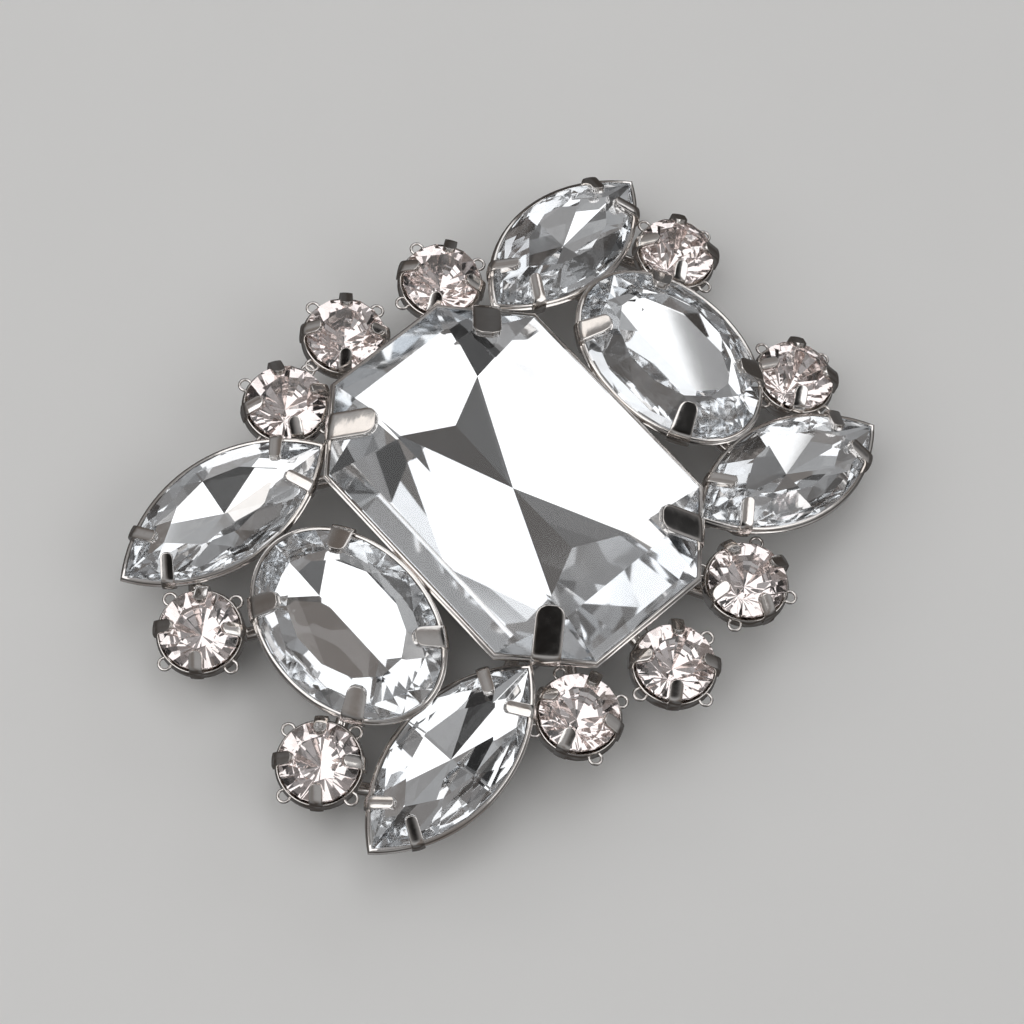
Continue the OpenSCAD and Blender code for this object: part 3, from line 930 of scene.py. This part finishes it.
class BUCKLE_OT_pointed_settings(bpy.types.Operator):
    """Model the rims, plates and claws of the four pointed stones"""

    bl_idname = "buckle.pointed_settings"
    bl_label = "Pointed Settings"

    def execute(self, context):
        stones, sizes = context.scene.buckle_stones, context.scene.buckle_setting
        half_l, half_w = stones.pointed_half_l, stones.pointed_half_w
        outline = pointed_outline(half_l, half_w)
        radius = arc_radius(half_l, half_w)
        # A claw stands this far along the stone, square to its outline.
        claw_x = 5.4 * MM
        claw_y = math.sqrt(radius ** 2 - claw_x ** 2) - (radius - half_w)
        bm = bmesh.new()
        for quarter in range(4):
            place = place_pointed(context.scene.buckle_places, quarter)
            add_rim_and_plate(bm, place, stones, sizes, outline, stones.pointed_base,
                              inset=1.3 * MM, rim_steps=64, plate_steps=48)
            for qx, qy in QUARTERS:
                claw = claw_strip(sizes, stones.band, sizes.pointed_claw_w, run=1.4 * MM,
                                  slope=27, foot_in=1.5 * MM,
                                  foot_down=stones.pointed_base - sizes.plate_t / 2,
                                  narrow=0.15)
                turn = math.atan2(qy * (claw_y + radius - half_w), qx * claw_x)
                join(bm, claw, place @ Matrix.Translation((qx * claw_x, qy * claw_y, 0))
                     @ Matrix.Rotation(turn, 4, "Z"))
        add_setting(context, "pointed_settings", bm)
        return {"FINISHED"}


class BUCKLE_OT_round_settings(bpy.types.Operator):
    """Model the turned cups of the ten round stones, with their claws and wire loops"""

    bl_idname = "buckle.round_settings"
    bl_label = "Round Settings"

    def execute(self, context):
        stones, sizes = context.scene.buckle_stones, context.scene.buckle_setting
        wall = 0.35 * MM
        cup_top = -0.35 * MM
        foot_r = 1.5 * MM
        inner = stones.round_r + sizes.gap
        bulge_r = inner + 0.65 * wall
        lip_r = inner + 0.3 * wall
        base = stones.round_base
        # The claws follow the crown, which rises from the top of the stone's edge to its
        # table.
        top = 0.75 * stones.band
        table_z = 1 * MM
        crown_run = 0.44 * stones.round_r
        slope = math.degrees(math.atan2(table_z - top, crown_run))
        lean = math.tan(math.radians(slope))
        outer = (sizes.gap + wall) / math.cos(math.radians(slope))
        run = 0.9 * MM
        bm = bmesh.new()
        for index in range(ROUND_COUNT):
            place = place_round(context.scene.buckle_places, index)
            cup = turned([
                (0, -base), (foot_r, -base), (bulge_r, cup_top - 0.7 * MM),
                (bulge_r, cup_top - 0.4 * MM), (lip_r, cup_top),
                (inner, cup_top), (inner, cup_top - 0.25 * MM),
                (foot_r - 0.2 * MM, sizes.plate_t / 2 - base), (0, sizes.plate_t / 2 - base)])
            round_edges(cup, 0.05 * MM, angle=40)
            join(bm, cup, place)
            for i in range(4):
                turn = Matrix.Rotation(i * math.pi / 2, 4, "Z")
                corners = (
                    (inner + wall, cup_top - 0.5 * MM),
                    (inner + wall, top - (sizes.gap + wall) * lean + outer),
                    (stones.round_r - run, top + run * lean + outer))
                claw = bent_strip(corners, sizes.round_claw_w, wall, bend=0.4 * MM,
                                  segments=16, square=2, dome=0.04 * MM, edge=0.12 * MM)
                join(bm, claw, place @ turn)
                between = Matrix.Rotation((i + 0.5) * math.pi / 2, 4, "Z")
                loop = wire_loop(radius=0.4 * MM, thickness=0.2 * MM)
                join(bm, loop, place @ between
                     @ Matrix.Translation((inner + wall, 0, cup_top - 0.3 * MM)))
        add_setting(context, "round_settings", bm)
        return {"FINISHED"}


class BUCKLE_OT_joining_wires(bpy.types.Operator):
    """Model the wires that join the settings behind the stones"""

    bl_idname = "buckle.joining_wires"
    bl_label = "Joining Wires"

    def execute(self, context):
        stones, sizes = context.scene.buckle_stones, context.scene.buckle_setting
        places = context.scene.buckle_places
        # The wires lie half sunk in the undersides of the plates and cups.
        sunk = 0.2 * MM
        plate_z = sunk - stones.large_base
        oval_z = sunk - places.oval_drop - stones.oval_base
        pointed_z = sunk - places.pointed_drop - stones.pointed_base
        end_z = -places.end_drop - stones.round_base - sunk / 2
        wing_z = -places.wing_drop - stones.round_base
        oval_x, wing_x, wing_y = places.oval_reach, places.wing_x, places.wing_y
        corner_x, corner_y = places.pointed_reach_x, places.pointed_reach_y
        # How far out under the plate of the large stone its wires start.
        plate_x = 6.3 * MM
        plate_y = 9.6 * MM
        # Start and end of each wire, from the edge plane of the large stone: two to the
        # ovals, two to the middle end stones, and five in each quarter.
        runs = [((s * plate_x, 0, plate_z), (s * (oval_x - MM), 0, oval_z)) for s in (1, -1)]
        runs += [((0, s * plate_y, plate_z), (0, s * places.end_reach, end_z))
                 for s in (1, -1)]
        for qx, qy in QUARTERS:
            runs += [
                ((qx * 3.6 * MM, qy * plate_y, plate_z),
                 (qx * places.end_side_x, qy * places.end_side_y, end_z)),
                ((qx * 6 * MM, qy * 7.7 * MM, plate_z),
                 (qx * 11.5 * MM, qy * 10.5 * MM, plate_z)),
                ((qx * (oval_x - 0.6 * MM), qy * 3.5 * MM, oval_z),
                 (qx * (corner_x - 0.6 * MM), qy * corner_y, pointed_z)),
                ((qx * (oval_x + MM), qy * 2.5 * MM, oval_z - sunk),
                 (qx * (wing_x - MM), qy * (wing_y - 0.3 * MM), wing_z)),
                ((qx * (corner_x + 2.5 * MM), qy * corner_y, pointed_z - 2 * sunk),
                 (qx * (wing_x - 0.6 * MM), qy * (wing_y + 0.6 * MM), wing_z))]
        lift = Vector((0, 0, places.girdle_z))
        bm = bmesh.new()
        for start, end in runs:
            wire, place = straight_wire(Vector(start) + lift, Vector(end) + lift,
                                        sizes.wire_d)
            join(bm, wire, place)
        add_setting(context, "joining_wires", bm)
        return {"FINISHED"}


class BUCKLE_OT_folded_clip(bpy.types.Operator):
    """Model the folded spring strip that grips the shoe"""

    bl_idname = "buckle.folded_clip"
    bl_label = "Folded Clip"

    def execute(self, context):
        sizes = context.scene.buckle_setting
        half, top = sizes.clip_l / 2, sizes.clip_h
        corners = ((-half, 0), (half, 0), (half, top), (-half, top))
        # A bend as large as the height makes the whole fold round.
        strip = bent_strip(corners, sizes.clip_w, sizes.clip_t, bend=top, segments=72)
        bm = bmesh.new()
        join(bm, strip, Matrix.Rotation(math.pi / 2, 4, "Z"))
        steel = brushed_steel(context.scene.buckle_finish)
        piece = add_piece("folded_clip", bm, steel, "shoe_clip")
        return {"FINISHED"}


class BUCKLE_OT_studio(bpy.types.Operator):
    """Lay the pale floor, hang the softboxes and set up the camera"""

    bl_idname = "buckle.studio"
    bl_label = "Studio"

    def execute(self, context):
        scene = context.scene
        studio, level_z = scene.buckle_studio, scene.buckle_places.girdle_z
        bm = bmesh.new()
        bmesh.ops.create_grid(bm, x_segments=2, y_segments=2, size=FLOOR_HALF)
        mesh = bpy.data.meshes.new("floor")
        bm.to_mesh(mesh)
        bm.free()
        mesh.materials.append(pale_floor(studio))
        floor = bpy.data.objects.new("floor", mesh)
        scene.collection.objects.link(floor)
        # Polished metal and stones mirror the dim room below them as well as above.
        floor.visible_glossy = False
        floor.visible_transmission = False

        scene.world = dim_room(studio)

        aim = Vector((0, 0, level_z))
        for name, turn, rise, width, height, strength, colour in SOFTBOXES:
            direction = aim_along(turn, rise)
            light = bpy.data.lights.new(name, "AREA")
            light.shape = "RECTANGLE"
            light.size = 2 * studio.light_distance * math.tan(math.radians(width / 2))
            light.size_y = 2 * studio.light_distance * math.tan(math.radians(height / 2))
            light.energy = strength * math.pi * light.size * light.size_y
            light.color = colour
            lamp = bpy.data.objects.new(name, light)
            lamp.location = aim + direction * studio.light_distance
            lamp.rotation_mode = "QUATERNION"
            lamp.rotation_quaternion = direction.to_track_quat("Z", "Y")
            lamp.visible_camera = False
            scene.collection.objects.link(lamp)

        # This one only lifts the floor, and no polished face shows it.
        light = bpy.data.lights.new("floor_light", "AREA")
        light.shape = "DISK"
        light.size = FLOOR_LIGHT_WIDTH
        light.energy = studio.floor_light
        lamp = bpy.data.objects.new("floor_light", light)
        lamp.location = FLOOR_LIGHT_SPOT
        lamp.visible_camera = False
        lamp.visible_glossy = False
        lamp.visible_transmission = False
        scene.collection.objects.link(lamp)

        # The camera's axes point to its right, upward in the picture and back to the viewer.
        turn, rise, roll = (studio.camera_azimuth, studio.camera_elevation,
                            studio.camera_roll)
        back = Vector((math.sin(turn) * math.cos(rise), -math.cos(turn) * math.cos(rise),
                       math.sin(rise)))
        sideways = Vector((math.cos(turn), math.sin(turn), 0))
        upright = back.cross(sideways)
        right = math.cos(roll) * sideways + math.sin(roll) * upright
        above = -math.sin(roll) * sideways + math.cos(roll) * upright
        target = aim + Vector(studio.camera_target)
        camera = bpy.data.objects.new("camera", bpy.data.cameras.new("camera"))
        camera.data.lens = studio.camera_lens
        camera.data.sensor_width = 36
        camera.data.clip_start = 1 * MM
        scene.collection.objects.link(camera)
        place = Matrix((right, above, back)).transposed().to_4x4()
        place.translation = target + back * studio.camera_distance
        camera.matrix_world = place
        scene.camera = camera

        # The foil-backed stones send light round inside them many times.
        scene.cycles.max_bounces = 28
        scene.cycles.glossy_bounces = 24
        scene.cycles.transmission_bounces = 24
        scene.view_settings.view_transform = "Standard"
        return {"FINISHED"}


# Panel and registration.

PIECES = (
    BUCKLE_OT_cut_stones,
    BUCKLE_OT_large_setting,
    BUCKLE_OT_oval_settings,
    BUCKLE_OT_pointed_settings,
    BUCKLE_OT_round_settings,
    BUCKLE_OT_joining_wires,
    BUCKLE_OT_folded_clip,
    BUCKLE_OT_studio,
)


class BUCKLE_PT_panel(bpy.types.Panel):
    """Lists the pieces of the buckle"""

    bl_label = "Shoe Buckle"
    bl_idname = "BUCKLE_PT_panel"
    bl_space_type = "VIEW_3D"
    bl_region_type = "UI"
    bl_category = "Buckle"

    def draw(self, context):
        for piece in PIECES:
            self.layout.operator(piece.bl_idname)


GROUPS = (
    (BuckleStoneSizes, "buckle_stones"),
    (BucklePlaces, "buckle_places"),
    (BuckleSettingSizes, "buckle_setting"),
    (BuckleFinish, "buckle_finish"),
    (BuckleStudio, "buckle_studio"),
)


def register():
    for group, name in GROUPS:
        bpy.utils.register_class(group)
        setattr(bpy.types.Scene, name, PointerProperty(type=group))
    for piece in PIECES:
        bpy.utils.register_class(piece)
    bpy.utils.register_class(BUCKLE_PT_panel)


def unregister():
    bpy.utils.unregister_class(BUCKLE_PT_panel)
    for piece in reversed(PIECES):
        bpy.utils.unregister_class(piece)
    for group, name in reversed(GROUPS):
        delattr(bpy.types.Scene, name)
        bpy.utils.unregister_class(group)


def main():
    """Builds every piece."""
    register()
    for piece in PIECES:
        area, name = piece.bl_idname.split(".")
        if getattr(getattr(bpy.ops, area), name)() != {"FINISHED"}:
            raise RuntimeError(f"{piece.bl_label} did not finish")


if __name__ == "__main__":
    main()
